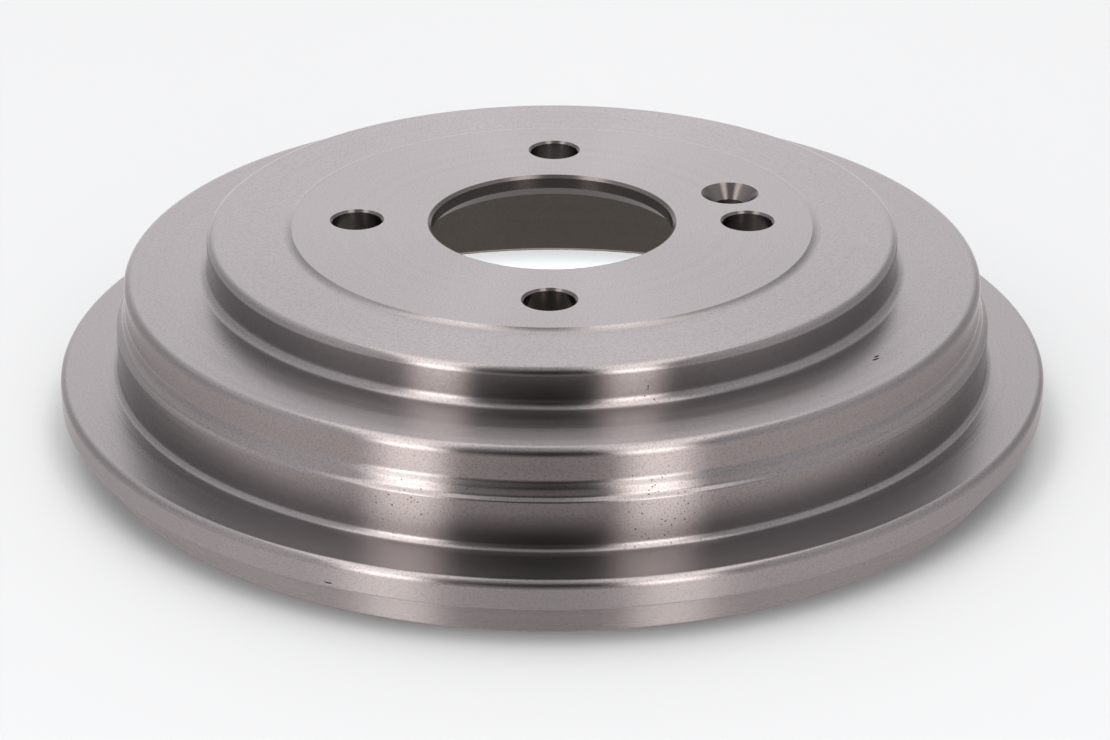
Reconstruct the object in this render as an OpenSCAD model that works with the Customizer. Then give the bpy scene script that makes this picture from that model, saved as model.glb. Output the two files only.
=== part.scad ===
// Brake drum: one turned iron casting that sits on the hub and is clamped behind the wheel.
// Z is the axle line. The origin is the centre of the hub seat and the wheel side faces +Z.

/* [Web and wheel face] */
// Thickness of the web between the hub seat and the wheel face
web_t = 6.3; // [5:0.1:10]
// Diameter of the raised wheel face
face_d = 133; // [125:0.5:145]
// Height of the wheel face above the web round it
face_h = 0.7; // [0.3:0.1:1.5]
// Radius of the tool's run-out at the edge of the wheel face
face_run_r = 4; // [2:0.5:6]
// Diameter of the centre bore that the hub's spigot fills
bore_d = 62; // [54:0.1:72]
// Chamfer of the centre bore at the wheel face
bore_face_c = 0.75; // [0.3:0.05:1.2]
// Chamfer of the centre bore at the hub seat
bore_seat_c = 2.8; // [1:0.1:3]
// Diameter of the hub seat
seat_d = 136; // [125:0.5:145]
// Height of the hub seat above the web round it
seat_h = 0.5; // [0.2:0.1:1]

/* [Holes] */
// Number of wheel stud holes
stud_count = 4; // [3:1:6]
// Diameter of the circle that the stud holes lie on
pitch_d = 100; // [95:0.1:110]
// Diameter of a stud hole
stud_d = 12.7; // [10:0.1:15]
// Chamfer of a stud hole at the wheel face
stud_c = 0.6; // [0.2:0.1:1]
// Angle from the first stud hole to the retaining screw's hole
screw_angle = 22.3; // [20:0.1:30]
// Diameter of the retaining screw's hole
screw_d = 8.2; // [5:0.1:9]
// Diameter of its 90 degree countersink at the wheel face
screw_head_d = 15; // [12:0.5:16]

/* [Hat] */
// Height from the shoulder up to the wheel face
hat_h = 10.7; // [8:0.1:40]
// Width of the shoulder from the brake track's radius in to the hat's wall
hat_in = 13.5; // [10:0.5:18]
// Thickness of the hat's wall
hat_t = 7.1; // [5:0.1:9]
// Round of the hat's top edge
hat_edge_r = 1.8; // [0.5:0.1:3]
// Fillet at the foot of the hat's wall
hat_foot_r = 2.2; // [1:0.1:4]
// Fillet inside the hat, under the web
hat_inner_r = 4; // [1:0.5:6]

/* [Drum wall] */
// Thickness of the shoulder
shoulder_t = 7.4; // [5:0.1:10]
// Round of the shoulder's outer edge
shoulder_edge_r = 2; // [0.5:0.1:3]
// Round of the shoulder's inner edge, where the hat's bore opens into the drum
shoulder_inner_r = 2; // [0.5:0.1:3]
// Height of the turned band below the shoulder
band_h = 8.1; // [4:0.1:15]
// Thickness of the wall at the turned band
band_t = 8; // [6:0.1:8.5]
// Height of the sloped step below the band
step_h = 1.3; // [0.5:0.1:3]
// Thickness of the wall at the foot of the sloped step
step_t = 8.9; // [8.7:0.1:9.1]
// Height of the tapered band below the step
taper_h = 2.6; // [1:0.1:5]
// Thickness of the wall at the foot of the tapered band
taper_t = 9.3; // [9.1:0.1:9.7]
// Height of the plain wall below the tapered band
wall_h = 12.4; // [6:0.1:30]
// Thickness of the plain wall
wall_t = 10.5; // [10.1:0.1:12]
// Round of the small ledge on top of the plain wall
ledge_r = 0.35; // [0.1:0.05:0.4]
// Fillet at the foot of the plain wall
wall_foot_r = 1.6; // [0.5:0.1:3]

/* [Flange and lip] */
// Reach of the flange beyond the plain wall
flange_w = 14.9; // [10:0.1:20]
// Thickness of the flange
flange_t = 7.05; // [4:0.05:10]
// Round of the flange's upper edge
flange_edge_r = 1.6; // [0.5:0.1:2.5]
// Height of the lip below the flange
lip_h = 9.55; // [8.5:0.05:15]
// Thickness of the lip from the brake track out
lip_t = 18.5; // [16:0.1:19.5]
// Fillet between the lip and the flange
lip_foot_r = 1.5; // [0.5:0.1:3]
// Round of the flange's lower edge and of the lip's outer edge
rim_break_r = 0.4; // [0.1:0.05:1]

/* [Brake track] */
// Diameter of the brake track that the shoes press on
track_d = 203.2; // [190:0.1:260]
// Chamfer of the brake track at the open end
track_c = 1; // [0.5:0.1:2]
// Depth of the tool's relief at the closed end of the track
relief_d = 0.8; // [0.3:0.1:1.5]
// Width of the relief
relief_w = 2.5; // [1:0.1:4]
// Thickness of the wall between the brake track and the seal groove in the open face
groove_in = 8.4; // [6:0.1:10]
// Width of the seal groove, which takes the rim of the backing plate
groove_w = 4; // [3:0.1:5]
// Depth of the seal groove
groove_depth = 7; // [4:0.1:8]
// Fillet in the bottom of the seal groove
groove_r = 1; // [0.3:0.1:1.4]

/* [Hidden] */
$fa = 5;
$fs = 1.2;
iron = "#a3a09f";

// What a cutting shape reaches past the face it opens
past = 1;
// What a fillet reaches into the walls it joins
sunk = 0.1;

// Radii, from the axle line out
bore_r = bore_d / 2;
face_r = face_d / 2;
seat_r = seat_d / 2;
track_r = track_d / 2;
hat_r = track_r - hat_in;
hat_bore_r = hat_r - hat_t;
relief_r = track_r + relief_d;
band_r = track_r + band_t;
step_r = track_r + step_t;
taper_r = track_r + taper_t;
wall_r = track_r + wall_t;
flange_r = wall_r + flange_w;
lip_r = track_r + lip_t;
run_w = sqrt(face_run_r ^ 2 - (face_run_r - face_h) ^ 2);

// Levels, from the wheel face down
z_face = web_t;
z_web_top = z_face - face_h;
z_web_under = seat_h;
z_shoulder = z_face - hat_h;
z_roof = z_shoulder - shoulder_t;
z_band = z_shoulder - band_h;
z_step = z_band - step_h;
z_taper = z_step - taper_h;
z_flange = z_taper - wall_h;
z_under = z_flange - flange_t;
z_open = z_under - lip_h;

// Section of the drum with every corner left sharp, counter-clockwise from the bore
module sharp_section() {
    polygon([
        [bore_r, z_face - bore_face_c],
        [bore_r, bore_seat_c],
        [bore_r + bore_seat_c, 0],
        [seat_r, 0],
        [seat_r, z_web_under],
        [hat_bore_r, z_web_under],
        [hat_bore_r, z_roof],
        [relief_r, z_roof],
        [relief_r, z_roof - relief_w],
        [track_r, z_roof - relief_w - relief_d],
        [track_r, z_open + track_c],
        [track_r + track_c, z_open],
        [lip_r, z_open],
        [lip_r, z_under],
        [flange_r, z_under],
        [flange_r, z_flange],
        [wall_r, z_flange],
        [wall_r, z_taper],
        [taper_r, z_taper],
        [step_r, z_step],
        [band_r, z_band],
        [band_r, z_shoulder],
        [hat_r, z_shoulder],
        [hat_r, z_web_top],
        [face_r, z_web_top],
        [face_r, z_face],
        [bore_r + bore_face_c, z_face],
    ]);
}

// What lies between a right-angled corner and an arc that touches both its walls.
// The arc's centre is up and outward of the corner, and a quarter turn to the left for each 90 degrees.
module corner(r, z, arc_r, turned = 0) {
    translate([r, z])
        rotate(turned)
            difference() {
                translate([-sunk, -sunk])
                    square(arc_r + sunk);
                translate([arc_r, arc_r])
                    circle(arc_r);
            }
}

// Hollow curve that the tool leaves where it runs out round the wheel face
module face_run_out() {
    difference() {
        translate([face_r - sunk, z_web_top - sunk])
            square([run_w + sunk, face_h + sunk]);
        translate([face_r + run_w, z_web_top + face_run_r])
            circle(face_run_r);
    }
}

// Fillets in the section's inward corners
module fillets() {
    face_run_out();
    corner(hat_r, z_shoulder, hat_foot_r);
    corner(wall_r, z_flange, wall_foot_r);
    corner(lip_r, z_under, lip_foot_r, 270);
    corner(hat_bore_r, z_web_under, hat_inner_r, 180);
}

// Rounds on the section's outward corners
module rounds() {
    corner(hat_r, z_web_top, hat_edge_r, 180);
    corner(band_r, z_shoulder, shoulder_edge_r, 180);
    corner(wall_r, z_taper, ledge_r, 180);
    corner(flange_r, z_flange, flange_edge_r, 180);
    corner(flange_r, z_under, rim_break_r, 90);
    corner(lip_r, z_open, rim_break_r, 90);
    corner(hat_bore_r, z_roof, shoulder_inner_r);
}

// Groove in the open face, with a filleted bottom
module seal_groove() {
    groove_z = z_open + groove_depth;
    difference() {
        translate([track_r + groove_in, z_open - past])
            square([groove_w, groove_depth + past]);
        corner(track_r + groove_in, groove_z, groove_r, 270);
        corner(track_r + groove_in + groove_w, groove_z, groove_r, 180);
    }
}

// Finished section, from the bore out to the flange's rim
module section() {
    difference() {
        union() {
            sharp_section();
            fillets();
        }
        rounds();
        seal_groove();
    }
}

// Cone that widens by the same amount as it rises, to chamfer or countersink a hole of radius r
module cone(r, depth) {
    cylinder(h = depth + past, r1 = r, r2 = r + depth + past);
}

// One stud hole through the web, chamfered at the wheel face
module stud_hole() {
    translate([0, 0, -past])
        cylinder(h = web_t + 2 * past, d = stud_d);
    translate([0, 0, web_t - stud_c])
        cone(stud_d / 2, stud_c);
}

// Countersunk hole for the screw that holds the drum on the hub while the wheel is off
module screw_hole() {
    sink_depth = (screw_head_d - screw_d) / 2;
    translate([0, 0, -past])
        cylinder(h = web_t + 2 * past, d = screw_d);
    translate([0, 0, web_t - sink_depth])
        cone(screw_d / 2, sink_depth);
}

// Everything that is drilled through the web
module drilled_holes() {
    for (i = [0 : stud_count - 1])
        rotate(i * 360 / stud_count)
            translate([pitch_d / 2, 0, 0])
                stud_hole();
    rotate(screw_angle)
        translate([pitch_d / 2, 0, 0])
            screw_hole();
}

module drum() {
    color(iron)
        difference() {
            rotate_extrude()
                section();
            drilled_holes();
        }
}

drum();
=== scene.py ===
import math
import bmesh
import bpy
from mathutils import Matrix, Vector


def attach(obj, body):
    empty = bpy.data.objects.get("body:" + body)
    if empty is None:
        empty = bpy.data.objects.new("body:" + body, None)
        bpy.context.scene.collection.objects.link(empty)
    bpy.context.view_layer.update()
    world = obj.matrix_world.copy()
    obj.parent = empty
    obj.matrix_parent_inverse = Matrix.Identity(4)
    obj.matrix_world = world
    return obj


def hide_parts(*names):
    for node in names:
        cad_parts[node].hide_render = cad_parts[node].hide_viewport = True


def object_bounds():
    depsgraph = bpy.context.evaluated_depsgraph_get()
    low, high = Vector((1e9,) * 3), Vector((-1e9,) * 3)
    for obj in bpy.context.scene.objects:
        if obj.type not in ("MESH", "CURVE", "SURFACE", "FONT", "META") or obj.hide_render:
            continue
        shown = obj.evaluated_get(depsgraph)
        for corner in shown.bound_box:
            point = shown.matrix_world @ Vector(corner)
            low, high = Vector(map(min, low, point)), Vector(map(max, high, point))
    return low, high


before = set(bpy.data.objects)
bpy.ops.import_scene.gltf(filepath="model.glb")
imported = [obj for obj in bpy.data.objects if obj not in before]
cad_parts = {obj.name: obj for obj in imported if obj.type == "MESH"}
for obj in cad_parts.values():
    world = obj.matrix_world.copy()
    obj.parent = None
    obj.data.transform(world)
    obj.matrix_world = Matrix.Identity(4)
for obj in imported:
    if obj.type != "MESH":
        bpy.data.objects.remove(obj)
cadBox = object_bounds()
print("frame loaded")


# small helpers

def hexColour(text):
    # sRGB hex to the linear values that shaders work in
    channels = [int(text[i:i + 2], 16) / 255 for i in (1, 3, 5)]
    linear = [c / 12.92 if c <= 0.04045 else ((c + 0.055) / 1.055) ** 2.4 for c in channels]
    return (*linear, 1.0)


def addNode(tree, kind, inputs=None, out=None, **settings):
    # an input is a number or colour, or the socket that feeds it; out picks the socket to give back
    node = tree.nodes.new(kind)
    for name, value in settings.items():
        setattr(node, name, value)
    for name, value in (inputs or {}).items():
        if isinstance(value, bpy.types.NodeSocket):
            tree.links.new(value, node.inputs[name])
        else:
            node.inputs[name].default_value = value
    return node if out is None else node.outputs[out]


def emptyTree(owner):
    owner.use_nodes = True
    owner.node_tree.nodes.clear()
    return owner.node_tree


def makeObject(name, mesh, material=None):
    data = bpy.data.meshes.new(name)
    mesh.to_mesh(data)
    mesh.free()
    item = bpy.data.objects.new(name, data)
    bpy.context.scene.collection.objects.link(item)
    if material:
        data.materials.append(material)
    return item


# the drum, turned from one outline, then drilled and nicked

drumShape = {  # millimetres and degrees, as in the CAD model
    "boreRadius": 31.0,
    "boreFaceChamfer": 0.75,
    "boreSeatChamfer": 2.8,
    "seatRadius": 68.0,
    "seatHeight": 0.5,
    "webThickness": 6.3,
    "faceRadius": 66.5,
    "faceHeight": 0.7,
    "faceRunRadius": 4.0,
    "hatRadius": 88.1,
    "hatBoreRadius": 81.0,
    "hatHeight": 10.7,
    "hatEdge": 1.8,
    "hatFoot": 2.2,
    "hatInner": 4.0,
    "shoulderThickness": 7.4,
    "shoulderEdge": 2.0,
    "shoulderInner": 2.0,
    "bandRadius": 109.6,
    "bandHeight": 8.1,
    "stepRadius": 110.5,
    "stepHeight": 1.3,
    "taperRadius": 110.9,
    "taperHeight": 2.6,
    "wallRadius": 112.1,
    "wallHeight": 12.4,
    "ledgeEdge": 0.35,
    "wallFoot": 1.6,
    "flangeRadius": 127.0,
    "flangeThickness": 7.05,
    "flangeEdge": 1.6,
    "lipRadius": 120.1,
    "lipHeight": 9.55,
    "lipFoot": 1.5,
    "rimBreak": 0.4,
    "trackRadius": 101.6,
    "trackChamfer": 1.0,
    "reliefRadius": 102.4,
    "reliefWidth": 2.5,
    "grooveInnerRadius": 110.0,
    "grooveOuterRadius": 114.0,
    "grooveDepth": 7.0,
    "grooveFillet": 1.0,
    # small easings from the tool's tip, which the CAD model leaves out
    "ledgeRise": 0.6,
    "ledgeEase": 0.3,
    "stepEase": 0.5,
    "pitchRadius": 50.0,
    "studAngles": [0, 90, 180, 270],
    "studRadius": 6.35,
    "studChamfer": 0.6,
    "screwAngle": 22.3,
    "screwRadius": 4.1,
    "screwHeadRadius": 7.5,
    "drillPast": 1.0,  # what a drill reaches past the web
    # middle, length, width and heading of each small nick; without a heading it runs round the drum
    "nicks": [
        ((78.5, -59.0, -4.4), 1.8, 0.7, 44),
        ((78.1, -60.6, -4.4), 2.1, 0.7, 38),
        ((-49.5, -116.9, -34.6), 2.0, 0.4, None),
        ((-72.8, -85.3, -28.8), 0.6, 0.6, 0),
        ((16.1, -66.6, 6.3), 0.6, 0.6, 0),
    ],
    "turnSteps": 360,  # one facet for each degree keeps reflections smooth
    "holeSteps": 64,
    "roundSteps": 6,
    "holdGap": 0.25,  # a ring this close to each corner keeps the flats shading flat
    "sharpAngle": 20,
}

turningMap = {  # where each cut of the lathe or drill lies in the UV map, as shares of its width and height
    "outline": (0.0, 0.94),
    "nicks": (0.945, 0.5),
    "nickScale": 2.0,
    "drills": (0.95, 1.0),
    "drillGap": 0.02,  # of each drill's strip, so that the strips stay apart
}


def drumOutline(s):
    # radius, height and round of each corner of the section, counter-clockwise from the bore
    face = s["webThickness"]
    webTop = face - s["faceHeight"]
    shoulder = face - s["hatHeight"]
    roof = shoulder - s["shoulderThickness"]
    band = shoulder - s["bandHeight"]
    step = band - s["stepHeight"]
    taper = step - s["taperHeight"]
    flange = taper - s["wallHeight"]
    under = flange - s["flangeThickness"]
    mouth = under - s["lipHeight"]
    grooveTop = mouth + s["grooveDepth"]
    relief = s["reliefRadius"] - s["trackRadius"]
    corners = [
        (s["boreRadius"], face - s["boreFaceChamfer"], 0),
        (s["boreRadius"], s["boreSeatChamfer"], 0),
        (s["boreRadius"] + s["boreSeatChamfer"], 0, 0),
        (s["seatRadius"], 0, 0),
        (s["seatRadius"], s["seatHeight"], 0),
        (s["hatBoreRadius"], s["seatHeight"], s["hatInner"]),
        (s["hatBoreRadius"], roof, s["shoulderInner"]),
        (s["reliefRadius"], roof, 0),
        (s["reliefRadius"], roof - s["reliefWidth"], 0),
        (s["trackRadius"], roof - s["reliefWidth"] - relief, 0),
        (s["trackRadius"], mouth + s["trackChamfer"], 0),
        (s["trackRadius"] + s["trackChamfer"], mouth, 0),
        (s["grooveInnerRadius"], mouth, 0),
        (s["grooveInnerRadius"], grooveTop, s["grooveFillet"]),
        (s["grooveOuterRadius"], grooveTop, s["grooveFillet"]),
        (s["grooveOuterRadius"], mouth, 0),
        (s["lipRadius"], mouth, s["rimBreak"]),
        (s["lipRadius"], under, s["lipFoot"]),
        (s["flangeRadius"], under, s["rimBreak"]),
        (s["flangeRadius"], flange, s["flangeEdge"]),
        (s["wallRadius"], flange, s["wallFoot"]),
        (s["wallRadius"], taper, s["ledgeEdge"]),
        (s["taperRadius"], taper + s["ledgeRise"], s["ledgeEase"]),
        (s["stepRadius"], step, s["stepEase"]),
        (s["bandRadius"], band, s["stepEase"]),
        (s["bandRadius"], shoulder, s["shoulderEdge"]),
        (s["hatRadius"], shoulder, s["hatFoot"]),
        (s["hatRadius"], webTop, s["hatEdge"]),
    ]
    # the tool's run-out round the wheel face is an arc that meets the web flat and the face at an angle
    run = s["faceRunRadius"]
    runAngle = math.acos(1 - s["faceHeight"] / run)
    runCentre = s["faceRadius"] + run * math.sin(runAngle)
    for i in range(s["roundSteps"] + 1):
        angle = runAngle * i / s["roundSteps"]
        corners.append((runCentre - run * math.sin(angle), webTop + run * (1 - math.cos(angle)), 0))
    corners.append((s["boreRadius"] + s["boreFaceChamfer"], face, 0))
    return corners


def holeOutline(s, radius, headRadius):
    # a straight drill with a 45 degree cone at the wheel face, both run past the web
    past = s["drillPast"]
    face = s["webThickness"]
    return [
        (0, -past, 0),
        (radius, -past, 0),
        (radius, face - (headRadius - radius), 0),
        (headRadius + past, face + past, 0),
        (0, face + past, 0),
    ]


def turnedMesh(corners, steps, roundSteps, holdGap):
    # draws the outline in the XZ plane, rounds its corners and spins it about Z
    mesh = bmesh.new()
    verts = [mesh.verts.new((r / 1000, 0, z / 1000)) for r, z, _ in corners]
    mesh.faces.new(verts)
    for vert, (_, _, size) in zip(verts, corners):
        if size:
            bmesh.ops.bevel(mesh, geom=[vert], affect="VERTICES", offset=size / 1000,
                            offset_type="OFFSET", segments=roundSteps, profile=0.5, material=-1)
    for edge in mesh.edges[:]:
        length = edge.calc_length()
        if length > 4 * holdGap:
            share = holdGap / length
            _, newVert = bmesh.utils.edge_split(edge, edge.verts[0], share)
            rest = next(e for e in newVert.link_edges if e.calc_length() > 2 * holdGap)
            bmesh.utils.edge_split(rest, rest.other_vert(newVert), share / (1 - share))
    run = mesh.verts.layers.float.new("run")  # the way along the outline, which the UV map needs
    outline = next(iter(mesh.faces))
    chain = [loop.vert for loop in outline.loops]
    travelled = 0
    for vert, following in zip(chain, chain[1:] + chain[:1]):
        vert[run] = travelled
        travelled += (following.co - vert.co).length
    bmesh.ops.delete(mesh, geom=[outline], context="FACES_ONLY")
    axisEdges = [e for e in mesh.edges if all(v.co.x < 1e-9 for v in e.verts)]
    bmesh.ops.delete(mesh, geom=axisEdges, context="EDGES")
    bmesh.ops.spin(mesh, geom=mesh.verts[:] + mesh.edges[:], cent=(0, 0, 0), axis=(0, 0, 1),
                   angle=math.tau, steps=steps, use_merge=True)
    bmesh.ops.remove_doubles(mesh, verts=mesh.verts, dist=1e-7)
    bmesh.ops.recalc_face_normals(mesh, faces=mesh.faces)
    return mesh, travelled


def layTurningMap(mesh, travelled, uSpan, vSpan):
    # U runs along the outline and V round the axle, so the shader's grain follows the lathe
    run = mesh.verts.layers.float["run"]
    uv = mesh.loops.layers.uv.new("turning")
    for face in mesh.faces:
        spots = [(loop.vert[run] / travelled, math.atan2(loop.vert.co.y, loop.vert.co.x) / math.tau % 1)
                 for loop in face.loops]
        for axis, span in ((0, uSpan), (1, vSpan)):
            values = [spot[axis] for spot in spots]
            low = max(values) - 0.5
            for loop, value in zip(face.loops, values):
                wrapped = value + 1 if value < low else value
                loop[uv].uv[axis] = span[0] + wrapped * (span[1] - span[0])
    mesh.verts.layers.float.remove(run)


def drillsFor(s):
    # all the drills in one mesh: they don't meet, so one cut does
    drills = bmesh.new()
    holes = [(angle, s["studRadius"], s["studRadius"] + s["studChamfer"]) for angle in s["studAngles"]]
    holes.append((s["screwAngle"], s["screwRadius"], s["screwHeadRadius"]))
    for i, (angle, radius, headRadius) in enumerate(holes):
        drill, travelled = turnedMesh(holeOutline(s, radius, headRadius), s["holeSteps"],
                                      s["roundSteps"], s["holdGap"] / 1000)
        strip = (i / len(holes), (i + 1 - turningMap["drillGap"]) / len(holes))
        layTurningMap(drill, travelled, turningMap["drills"], strip)
        turn = Matrix.Rotation(math.radians(angle), 4, "Z")
        place = turn @ Matrix.Translation((s["pitchRadius"] / 1000, 0, 0))
        bmesh.ops.transform(drill, matrix=place, verts=drill.verts)
        data = bpy.data.meshes.new("drill")
        drill.to_mesh(data)
        drill.free()
        drills.from_mesh(data)
        bpy.data.meshes.remove(data)
    return drills


def gougesFor(s):
    # one long ellipsoid for each nick, half sunk into the surface that it marks
    gouges = bmesh.new()
    uv = gouges.loops.layers.uv.new("turning")
    uStart, vStart = turningMap["nicks"]
    scale = turningMap["nickScale"]
    for middle, length, width, heading in s["nicks"]:
        centre = [v / 1000 for v in middle]
        roundDrum = math.atan2(middle[1], middle[0]) + math.pi / 2
        angle = roundDrum if heading is None else math.radians(heading)
        place = Matrix.Translation(centre) @ Matrix.Rotation(angle, 4, "Z")
        shape = Matrix.Diagonal((length / 2000, width / 2000, width / 2000, 1))
        added = bmesh.ops.create_icosphere(gouges, subdivisions=3, radius=1.0, matrix=place @ shape)
        for vert in added["verts"]:
            u = uStart + scale * (vert.co.x - centre[0])
            v = vStart + scale * (vert.co.y - centre[1])
            for loop in vert.link_loops:
                loop[uv].uv = (u, v)
    return gouges


def cutWith(item, cutter):
    cut = item.modifiers.new("cut", "BOOLEAN")
    cut.object = cutter
    cut.operation = "DIFFERENCE"
    cut.solver = "EXACT"
    cut.material_mode = "TRANSFER"
    view = bpy.context.evaluated_depsgraph_get()
    result = bpy.data.meshes.new_from_object(item.evaluated_get(view))
    item.modifiers.clear()
    item.data = result
    bpy.data.objects.remove(cutter)


def setShading(data, sharpAngle):
    # the whole drum shades smooth, apart from the edges that turn by more than the angle
    mesh = bmesh.new()
    mesh.from_mesh(data)
    for face in mesh.faces:
        face.smooth = True
    for edge in mesh.edges:
        edge.smooth = edge.calc_face_angle(0) < math.radians(sharpAngle)
    mesh.to_mesh(data)
    mesh.free()


def makeDrum(material, nickMaterial):
    s = drumShape
    turned, travelled = turnedMesh(drumOutline(s), s["turnSteps"], s["roundSteps"], s["holdGap"] / 1000)
    layTurningMap(turned, travelled, turningMap["outline"], (0.0, 1.0))
    drum = makeObject("turnedDrum", turned, material)
    cutWith(drum, makeObject("drills", drillsFor(s)))
    cutWith(drum, makeObject("gouges", gougesFor(s), nickMaterial))
    setShading(drum.data, s["sharpAngle"])
    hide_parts("drum")
    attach(drum, "root")
    print("drum turned and drilled:", len(drum.data.polygons), "faces")
    return drum


# turned grey cast iron: the lathe's rings run round the axle, so lights smear across them

ironFinish = {  # lengths in millimetres
    "colour": "#8c8888",
    "roughness": 0.21,
    "roughnessSpread": 0.02,
    "anisotropy": 0.95,
    # pitch, detail and roughness of what changes from ring to ring: the turning marks, drawn coarser than the
    # tool's real feed so that they show, slow streaks of shine, and the deeper marks of a slower pass
    "rings": (0.35, 3.0, 0.6),
    "streaks": (3.0, 4.0, 0.7),
    "marks": (0.7, 2.0, 0.5),
    "heightWeight": -0.7,  # of the height beside the radius, in the number that the rings follow
    "ringDepth": 0.003,
    "ringStrength": 0.35,
    "streakRange": (0.3, 0.7),
    "markDepth": 0.03,
    "lipRoughness": 0.06,
    "lipMetal": 0.6,  # a thin matt film lies over the metal of the lip and the rim
    "rimRoughness": 0.06,
    "insideShadeColour": "#78726d",  # painted shade, with a brown tint: the drum's hollow inside is coloured darker
    "drilledColour": "#6a6563",  # the bore and the drilled holes are coloured darker than the turned faces
    "grainPitch": 0.45,  # from fleck to fleck in the iron's grain, drawn coarser than real so that it shows
    "grainRange": (0.55, 0.3),
    "grainShare": 0.22,
    "poreColour": "#453e3e",
    "poreSpacing": 0.75,
    "poreRadius": 0.25,  # of the largest, drawn a little larger than real so that they show
    "poreSizes": (0.5, 1.0),  # a cell whose random size is under the first has no pore
    "poreSoftness": (-0.02, 0.04),
    # middle and reach of the patches where the casting's pores show most
    "porePatches": [((-34, -107, -20), 15), ((26, -109, -21), 20), ((23, -85, -1), 7), ((79, -79, -23), 14)],
    "poreCore": 0.3,  # the share of a patch's reach that is full of them
    "poresElsewhere": 0.5,
    "poreTop": -4.0,  # none on the hat's top
    "poreEdge": 0.1,
}

# where each finish lies, and the painted shade of the drum's inside: what is measured, the edge, and half the
# width of the change there. The zone lies past the edge, or before it where that width is below 0.
ironZones = {
    "lip": [("height", -30.6, -0.2), ("radius", 116.0, 0.2)],
    "rim": [("height", -30.6, -0.2), ("radius", 126.3, 0.2)],
    # the drum's hollow inside, which takes the painted shade
    "inside": [("radius", 103.0, -0.1), ("height", -5.9, -1.5)],
    "bore": [("radius", 31.9, -0.1), ("height", 2.75, 0.15)],
    "stepMarks": [("across", 119.1, 0.5), ("across", 122.1, -0.5)],
    "flangeMarks": [("across", 133.9, 0.5), ("across", 137.5, -0.5)],
}


def zoneShare(tree, zone, measured):
    # 1 inside the zone and 0 outside it
    share = 1.0
    for what, edge, soft in ironZones[zone]:
        within = addNode(tree, "ShaderNodeMapRange", {
            "Value": measured[what], "From Min": (edge - soft) / 1000, "From Max": (edge + soft) / 1000},
            "Result", interpolation_type="SMOOTHSTEP")
        share = addNode(tree, "ShaderNodeMath", {0: share, 1: within}, "Value", operation="MULTIPLY")
    return share


def poreShare(tree, place, height):
    # pores of the casting: small round specks, each cell of a Voronoi pattern holding one of its own size
    f = ironFinish
    cells = addNode(tree, "ShaderNodeTexVoronoi", {"Vector": place, "Scale": 1000 / f["poreSpacing"]})
    size = addNode(tree, "ShaderNodeSeparateColor", {"Color": cells.outputs["Color"]}, "Red")
    reach = addNode(tree, "ShaderNodeMapRange", {
        "Value": size, "From Min": f["poreSizes"][0], "From Max": f["poreSizes"][1],
        "To Max": f["poreRadius"] / f["poreSpacing"]}, "Result")
    near = addNode(tree, "ShaderNodeMapRange", {
        "Value": height, "From Min": (f["poreTop"] + f["poreEdge"]) / 1000,
        "From Max": (f["poreTop"] - f["poreEdge"]) / 1000, "To Max": f["poresElsewhere"]}, "Result")
    for middle, spread in f["porePatches"]:
        away = addNode(tree, "ShaderNodeVectorMath", {0: place, 1: Vector(middle) / 1000},
                       "Value", operation="DISTANCE")
        share = addNode(tree, "ShaderNodeMapRange", {
            "Value": away, "From Min": spread / 1000, "From Max": f["poreCore"] * spread / 1000},
            "Result", interpolation_type="SMOOTHSTEP")
        near = addNode(tree, "ShaderNodeMath", {0: near, 1: share}, "Value", operation="MAXIMUM")
    limit = addNode(tree, "ShaderNodeMath", {0: reach, 1: near}, "Value", operation="MULTIPLY")
    depth = addNode(tree, "ShaderNodeMath", {0: limit, 1: cells.outputs["Distance"]},
                    "Value", operation="SUBTRACT")
    return addNode(tree, "ShaderNodeMapRange", {
        "Value": depth, "From Min": f["poreSoftness"][0], "From Max": f["poreSoftness"][1]},
        "Result", interpolation_type="SMOOTHSTEP")


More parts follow.
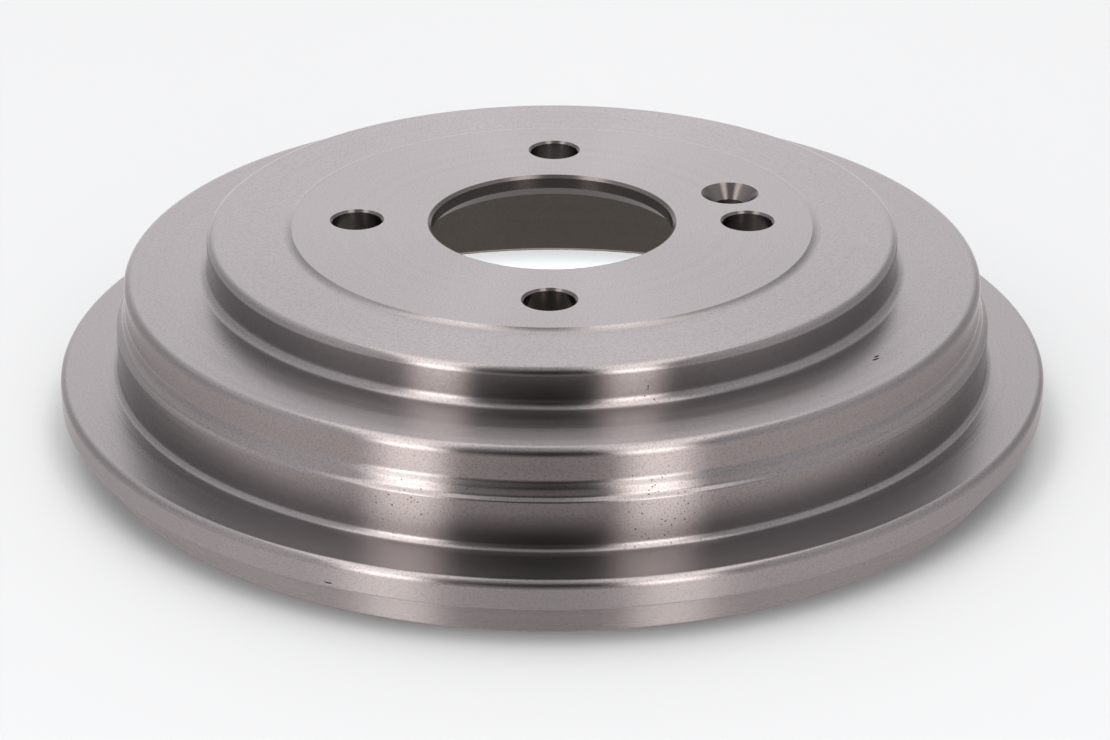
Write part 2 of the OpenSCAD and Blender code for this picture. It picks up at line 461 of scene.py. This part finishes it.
def makeIron():
    f = ironFinish
    material = bpy.data.materials.new("turnedCastIron")
    tree = emptyTree(material)
    place = addNode(tree, "ShaderNodeTexCoord", None, "Object")
    parts = addNode(tree, "ShaderNodeSeparateXYZ", {"Vector": place}).outputs
    flat = addNode(tree, "ShaderNodeCombineXYZ", {"X": parts["X"], "Y": parts["Y"]}, "Vector")
    radius = addNode(tree, "ShaderNodeVectorMath", {0: flat}, "Value", operation="LENGTH")
    # one number that changes across every ring of the part, on flats, walls and chamfers alike
    across = addNode(tree, "ShaderNodeMath", {0: parts["Z"], 1: f["heightWeight"], 2: radius},
                     "Value", operation="MULTIPLY_ADD")
    measured = {"height": parts["Z"], "radius": radius, "across": across}
    lip = zoneShare(tree, "lip", measured)
    rim = zoneShare(tree, "rim", measured)
    rings, streaks, marks = [
        addNode(tree, "ShaderNodeTexNoise", {
            "W": across, "Scale": 1000 / pitch, "Detail": detail, "Roughness": roughness},
            "Fac", noise_dimensions="1D")
        for pitch, detail, roughness in (f["rings"], f["streaks"], f["marks"])]
    shine = addNode(tree, "ShaderNodeMapRange", {
        "Value": streaks, "From Min": f["streakRange"][0], "From Max": f["streakRange"][1],
        "To Min": f["roughness"] - f["roughnessSpread"],
        "To Max": f["roughness"] + f["roughnessSpread"]}, "Result")
    for share, extra in ((lip, f["lipRoughness"]), (rim, f["rimRoughness"])):
        shine = addNode(tree, "ShaderNodeMath", {0: share, 1: extra, 2: shine},
                        "Value", operation="MULTIPLY_ADD")
    around = addNode(tree, "ShaderNodeUVMap", None, "UV", uv_map="turning")
    along = addNode(tree, "ShaderNodeSeparateXYZ", {"Vector": around}, "X")
    holes = addNode(tree, "ShaderNodeMath", {0: along, 1: turningMap["nicks"][0]},
                    "Value", operation="GREATER_THAN")
    drilled = addNode(tree, "ShaderNodeMath", {0: holes, 1: zoneShare(tree, "bore", measured)},
                      "Value", operation="MAXIMUM")
    flecks = addNode(tree, "ShaderNodeTexNoise", {
        "Vector": place, "Scale": 1000 / f["grainPitch"], "Detail": 1.0}, "Fac")
    fleck = addNode(tree, "ShaderNodeMapRange", {
        "Value": flecks, "From Min": f["grainRange"][0], "From Max": f["grainRange"][1],
        "To Max": f["grainShare"]}, "Result")
    tints = [
        # painted shade: the drum's hollow inside is coloured darker, with a brown tint
        (zoneShare(tree, "inside", measured), f["insideShadeColour"]),
        (drilled, f["drilledColour"]),
        (fleck, f["poreColour"]),
        (poreShare(tree, place, parts["Z"]), f["poreColour"]),
    ]
    colour = hexColour(f["colour"])
    for share, tint in tints:
        colour = addNode(tree, "ShaderNodeMix", {0: share, 6: colour, 7: hexColour(tint)},
                         2, data_type="RGBA")
    bump = addNode(tree, "ShaderNodeBump", {
        "Height": rings, "Strength": f["ringStrength"], "Distance": f["ringDepth"] / 1000}, "Normal")
    for zone in ("stepMarks", "flangeMarks"):
        height = addNode(tree, "ShaderNodeMath", {0: zoneShare(tree, zone, measured), 1: marks},
                         "Value", operation="MULTIPLY")
        bump = addNode(tree, "ShaderNodeBump", {
            "Height": height, "Strength": 1.0, "Distance": f["markDepth"] / 1000, "Normal": bump}, "Normal")
    grain = addNode(tree, "ShaderNodeTangent", None, "Tangent", direction_type="UV_MAP", uv_map="turning")
    metal = addNode(tree, "ShaderNodeMapRange", {"Value": lip, "To Min": 1.0, "To Max": f["lipMetal"]},
                    "Result")
    iron = addNode(tree, "ShaderNodeBsdfPrincipled", {
        "Base Color": colour, "Metallic": metal, "Roughness": shine, "Anisotropic": f["anisotropy"],
        "Normal": bump, "Tangent": grain}, "BSDF")
    addNode(tree, "ShaderNodeOutputMaterial", {"Surface": iron})
    print("cast iron ready")
    return material


# the bottom of a nick: torn cast iron, rougher than the turned faces, and coloured dark as painted shade in
# the nick's hollow

nickFinish = {
    "dark": "#2e292a",
    "light": "#5d5657",
    "gritPitch": 0.25,  # millimetres
    "roughness": 0.6,
}


def makeNickIron():
    f = nickFinish
    material = bpy.data.materials.new("tornIronWithPaintedShade")
    tree = emptyTree(material)
    place = addNode(tree, "ShaderNodeTexCoord", None, "Object")
    grit = addNode(tree, "ShaderNodeTexNoise", {"Vector": place, "Scale": 1000 / f["gritPitch"]}, "Fac")
    # painted shade: the nick's hollow is coloured dark, with a grit of lighter flecks
    shade = addNode(tree, "ShaderNodeMix", {0: grit, 6: hexColour(f["dark"]), 7: hexColour(f["light"])},
                    2, data_type="RGBA")
    iron = addNode(tree, "ShaderNodeBsdfPrincipled", {
        "Base Color": shade, "Metallic": 1.0, "Roughness": f["roughness"]}, "BSDF")
    addNode(tree, "ShaderNodeOutputMaterial", {"Surface": iron})
    return material


# the camera stands where the photograph's camera stood, worked out from the stud holes

cameraPlace = {
    "location": (9.004, -716.938, 301.658),  # millimetres
    "heading": 0.663,
    "downward": 25.225,
    "roll": 0.067,
    "focalPixels": 3024.9,
    "imageWidth": 1110,
    "sensorWidth": 36.0,
}


def makeCamera():
    c = cameraPlace
    lens = bpy.data.cameras.new("camera")
    lens.sensor_width = c["sensorWidth"]
    lens.lens = c["focalPixels"] / c["imageWidth"] * c["sensorWidth"]
    lens.clip_start = 0.01
    camera = bpy.data.objects.new("camera", lens)
    turn = (Matrix.Rotation(math.radians(c["heading"]), 4, "Z")
            @ Matrix.Rotation(math.radians(90 - c["downward"]), 4, "X")
            @ Matrix.Rotation(-math.radians(c["roll"]), 4, "Z"))
    camera.matrix_world = Matrix.Translation([v / 1000 for v in c["location"]]) @ turn
    bpy.context.scene.collection.objects.link(camera)
    bpy.context.scene.camera = camera
    print("camera placed")


# a pale floor in a studio that is bright behind the drum and dim behind the camera

studio = {  # metres and degrees
    "floorSize": 6.0,
    "floorColour": "#bbbebf",
    "floorDrop": 0.0001,
    # the painted shade card that the drum's inside mirrors: its radius, glow colour and rise above the floor
    "cardRadius": 0.101,
    "cardColour": "#adaaa8",
    "cardRise": 0.0002,
    # brightness of the room by heading, 0 straight in front of the drum
    "belowHorizon": [(-180, 1.4), (-160, 1.05), (-140, 0.74), (-110, 0.98), (-75, 1.18), (-50, 1.12),
                     (-10, 0.82), (0, 0.76), (10, 0.82), (50, 1.1), (75, 1.12), (110, 0.95), (140, 0.74),
                     (160, 1.05), (180, 1.4)],
    "aboveHorizon": [(-180, 1.74), (-165, 1.4), (-150, 0.95), (-130, 0.74), (-95, 0.82), (-70, 1.08),
                     (-50, 1.05), (-24, 0.3), (-10, 0.08), (0, 0.04), (10, 0.08), (24, 0.24), (45, 0.74),
                     (70, 0.9), (95, 0.8), (130, 0.68), (150, 0.74), (165, 1.25), (180, 1.74)],
    "highUp": [(-180, 1.1), (-150, 1.3), (-125, 1.2), (-70, 1.15), (-28, 0.45), (0, 0.1), (28, 0.34),
               (70, 0.98), (130, 1.0), (150, 1.05), (180, 1.1)],
    "overhead": 0.8,
    # the rise, 0 level and 1 straight up, over which each of them gives way to the next
    "horizonFade": (-0.45, 0.15),
    "highFade": (0.42, 0.75),
    "overheadFade": (0.75, 0.99),
    "lowColour": "#fff4f3",
    "skyColour": "#fefbff",
    # two long strip lamps that stand in front and lean over the drum to the back, each in a plane of its own:
    # the plane's two slopes and place, the lamp's half width and its share of the brightness
    "strips": [(-0.3, 0.02, -0.32, 0.135, 1.0), (0.16, 0.05, 0.29, 0.132, 0.95)],
    "stripEdge": 0.095,
    # brightness of a strip lamp by the angle along it, 0 in front, 90 overhead
    "stripRise": [(-180, 0.0), (-90, 0.0), (-60, 0.8), (-32, 1.2), (-15, 2.9), (0, 5.4), (12, 5.8), (25, 3.7),
                  (38, 2.9), (70, 2.6), (100, 2.2), (128, 1.4), (150, 0.0), (180, 0.0)],
    "stripColour": "#fff7f3",
    # place, size and power of the floor's lamps, the last one inside the drum
    "floorLamps": [((0.0, -0.5, 1.7), 1.6, 18.0), ((0.0, 0.0, -0.012), 0.1, 0.95)],
}


def makeFloor():
    # matt paint that shows only the drum's soft shadow; the metal doesn't mirror it, because the photograph's
    # drum mirrors something darker
    s = studio
    material = bpy.data.materials.new("paleFloor")
    tree = emptyTree(material)
    paint = addNode(tree, "ShaderNodeBsdfDiffuse", {"Color": hexColour(s["floorColour"])}, "BSDF")
    addNode(tree, "ShaderNodeOutputMaterial", {"Surface": paint})
    mesh = bmesh.new()
    bmesh.ops.create_grid(mesh, x_segments=1, y_segments=1, size=s["floorSize"] / 2)
    bmesh.ops.translate(mesh, verts=mesh.verts, vec=(0, 0, cadBox[0][2] - s["floorDrop"]))
    floor = makeObject("floor", mesh, material)
    floor.visible_glossy = False


def makePaintedShadeCard():
    # painted reflection: a dim glowing card in the drum's open end, seen only by glossy rays, stands in for
    # the shaded floor under the drum, so that the inside has something dark to mirror
    s = studio
    material = bpy.data.materials.new("paintedShadeGlow")
    tree = emptyTree(material)
    glow = addNode(tree, "ShaderNodeEmission", {"Color": hexColour(s["cardColour"])}, "Emission")
    addNode(tree, "ShaderNodeOutputMaterial", {"Surface": glow})
    mesh = bmesh.new()
    bmesh.ops.create_circle(mesh, cap_ends=True, segments=96, radius=s["cardRadius"])
    bmesh.ops.translate(mesh, verts=mesh.verts, vec=(0, 0, cadBox[0][2] + s["cardRise"]))
    card = makeObject("paintedShadeCard", mesh, material)
    card.visible_camera = False
    card.visible_diffuse = False
    card.visible_shadow = False


def brightness(tree, angle, stops):
    # brightness at a few angles all the way round, straight in between
    share = addNode(tree, "ShaderNodeMapRange", {"Value": angle, "From Min": -180, "From Max": 180}, "Result")
    node = addNode(tree, "ShaderNodeValToRGB", {"Fac": share})
    marks = node.color_ramp.elements
    peak = max(level for _, level in stops)
    for _ in stops[2:]:
        marks.new(0.5)
    for mark, (where, level) in zip(marks, stops):
        mark.position = (where + 180) / 360
        mark.color = (level / peak, level / peak, level / peak, 1)
    return addNode(tree, "ShaderNodeVectorMath", {0: node.outputs["Color"], "Scale": peak},
                   "Vector", operation="SCALE")


def makeSurroundings():
    s = studio
    world = bpy.data.worlds.new("studio")
    bpy.context.scene.world = world
    tree = emptyTree(world)
    direction = addNode(tree, "ShaderNodeTexCoord", None, "Generated")
    parts = addNode(tree, "ShaderNodeSeparateXYZ", {"Vector": direction}).outputs
    front = addNode(tree, "ShaderNodeMath", {0: parts["Y"], 1: -1.0}, "Value", operation="MULTIPLY")
    rise = parts["Z"]
    angles = []
    for side in (parts["X"], rise):
        turn = addNode(tree, "ShaderNodeMath", {0: side, 1: front}, "Value", operation="ARCTAN2")
        angles.append(addNode(tree, "ShaderNodeMath", {0: turn}, "Value", operation="DEGREES"))
    heading, along = angles
    levels = []
    bands = (("belowHorizon", "lowColour"), ("aboveHorizon", "skyColour"), ("highUp", "skyColour"))
    for stops, tint in bands:
        levels.append(addNode(tree, "ShaderNodeMix", {
            0: 1.0, 6: brightness(tree, heading, s[stops]), 7: hexColour(s[tint])},
            2, data_type="RGBA", blend_type="MULTIPLY"))
    levels.append((s["overhead"], s["overhead"], s["overhead"], 1))
    room = levels[0]
    fades = (("horizonFade", "LINEAR"), ("highFade", "SMOOTHSTEP"), ("overheadFade", "SMOOTHSTEP"))
    for level, (fade, way) in zip(levels[1:], fades):
        share = addNode(tree, "ShaderNodeMapRange", {
            "Value": rise, "From Min": s[fade][0], "From Max": s[fade][1]}, "Result", interpolation_type=way)
        room = addNode(tree, "ShaderNodeMix", {0: share, 6: room, 7: level}, 2, data_type="RGBA")
    strength = addNode(tree, "ShaderNodeMix", {
        0: 1.0, 6: brightness(tree, along, s["stripRise"]), 7: hexColour(s["stripColour"])},
        2, data_type="RGBA", blend_type="MULTIPLY")
    for slope, lean, middle, half, share in s["strips"]:
        across = addNode(tree, "ShaderNodeVectorMath", {0: direction, 1: (1.0, slope, lean)},
                         "Value", operation="DOT_PRODUCT")
        aside = addNode(tree, "ShaderNodeMath", {0: across, 1: middle}, "Value", operation="SUBTRACT")
        off = addNode(tree, "ShaderNodeMath", {0: aside}, "Value", operation="ABSOLUTE")
        lit = addNode(tree, "ShaderNodeMapRange", {
            "Value": off, "From Min": half + s["stripEdge"], "From Max": half - s["stripEdge"],
            "To Max": share}, "Result", interpolation_type="SMOOTHSTEP")
        room = addNode(tree, "ShaderNodeMix", {0: lit, 6: room, 7: strength},
                       2, data_type="RGBA", blend_type="ADD")
    light = addNode(tree, "ShaderNodeBackground", {"Color": room}, "Background")
    addNode(tree, "ShaderNodeOutputWorld", {"Surface": light})


def makeFloorLamps():
    # the metal doesn't mirror these lamps; they light the floor, also where it shows through the bore, and a
    # little of the matt film on the lip
    for place, size, power in studio["floorLamps"]:
        data = bpy.data.lights.new("floorLamp", "AREA")
        data.size = size
        data.energy = power
        lamp = bpy.data.objects.new("floorLamp", data)
        lamp.location = place
        if place[2] > 0:  # the lamp inside the drum faces straight down, and the other one faces the drum
            lamp.rotation_euler = Vector(place).to_track_quat("Z", "Y").to_euler()
        lamp.visible_glossy = False
        bpy.context.scene.collection.objects.link(lamp)


bpy.context.scene.view_settings.view_transform = "Standard"
makeCamera()
makeDrum(makeIron(), makeNickIron())
makeFloor()
makePaintedShadeCard()
makeSurroundings()
makeFloorLamps()
print("studio lit")
